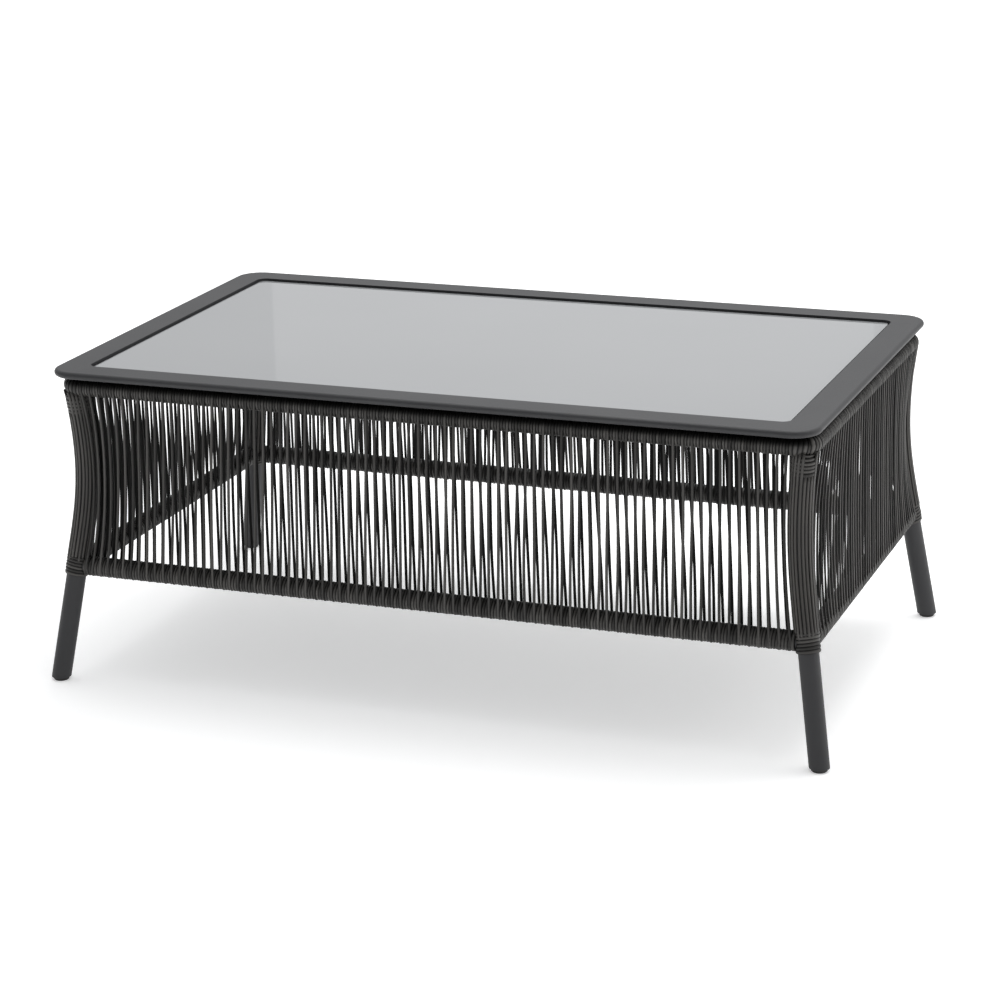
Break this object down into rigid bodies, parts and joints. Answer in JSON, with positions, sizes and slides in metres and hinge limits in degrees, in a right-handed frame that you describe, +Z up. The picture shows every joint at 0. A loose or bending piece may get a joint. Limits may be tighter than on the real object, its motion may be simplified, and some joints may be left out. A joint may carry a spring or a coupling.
{
  "type": "wicker coffee table",
  "caption": "Low rectangular garden table: flat metal rim with a drop-in glass top over a skirt of upright woven cord, on bent tube legs with a waist and splayed feet.",
  "frame": {"origin": "on the floor, under the middle of the table", "axes": "+X along the long side to the right, +Y across to the back, +Z up"},
  "size_m": [1.1482, 0.6692, 0.46],
  "materials": {
    "powder_coated_metal": "fine-textured matt powder coat, charcoal",
    "woven_cord": "oval polyethylene cord, charcoal, faint sheen",
    "tinted_glass": "grey tempered glass, polished",
    "clear_rubber": "clear silicone",
    "black_plastic": "moulded, black"
  },
  "bodies": {
    "frame": {"glass_pads": "clear_rubber", "top_ring_tube": "powder_coated_metal", "ring_spacers": "powder_coated_metal", "rim_rail_front": "powder_coated_metal", "rim_rail_back": "powder_coated_metal", "rim_rail_left": "powder_coated_metal", "rim_rail_right": "powder_coated_metal", "glass_ledge_front": "powder_coated_metal", "glass_ledge_back": "powder_coated_metal", "glass_ledge_left": "powder_coated_metal", "glass_ledge_right": "powder_coated_metal", "bottom_rail_front": "powder_coated_metal", "bottom_rail_back": "powder_coated_metal", "bottom_rail_left": "powder_coated_metal", "bottom_rail_right": "powder_coated_metal", "woven_panel_front": "woven_cord", "woven_panel_back": "woven_cord", "woven_panel_left": "woven_cord", "woven_panel_right": "woven_cord", "corner_leg_front_left": "powder_coated_metal", "corner_leg_front_right": "powder_coated_metal", "corner_leg_back_left": "powder_coated_metal", "corner_leg_back_right": "powder_coated_metal", "neck_wrap_front_left": "woven_cord", "neck_wrap_front_right": "woven_cord", "neck_wrap_back_left": "woven_cord", "neck_wrap_back_right": "woven_cord", "collar_wrap_front_left": "woven_cord", "collar_wrap_front_right": "woven_cord", "collar_wrap_back_left": "woven_cord", "collar_wrap_back_right": "woven_cord", "leg_strands_front_left": "woven_cord", "leg_strands_front_right": "woven_cord", "leg_strands_back_left": "woven_cord", "leg_strands_back_right": "woven_cord", "foot_glide_front_left": "black_plastic", "foot_glide_front_right": "black_plastic", "foot_glide_back_left": "black_plastic", "foot_glide_back_right": "black_plastic"},
    "glass": {"glass_top": "tinted_glass"}
  },
  "joints": [
    {"name": "glass_lift", "type": "slide", "parent": "frame", "child": "glass", "axis": [0, 0, 1], "range_m": [0, 0.05]}
  ]
}
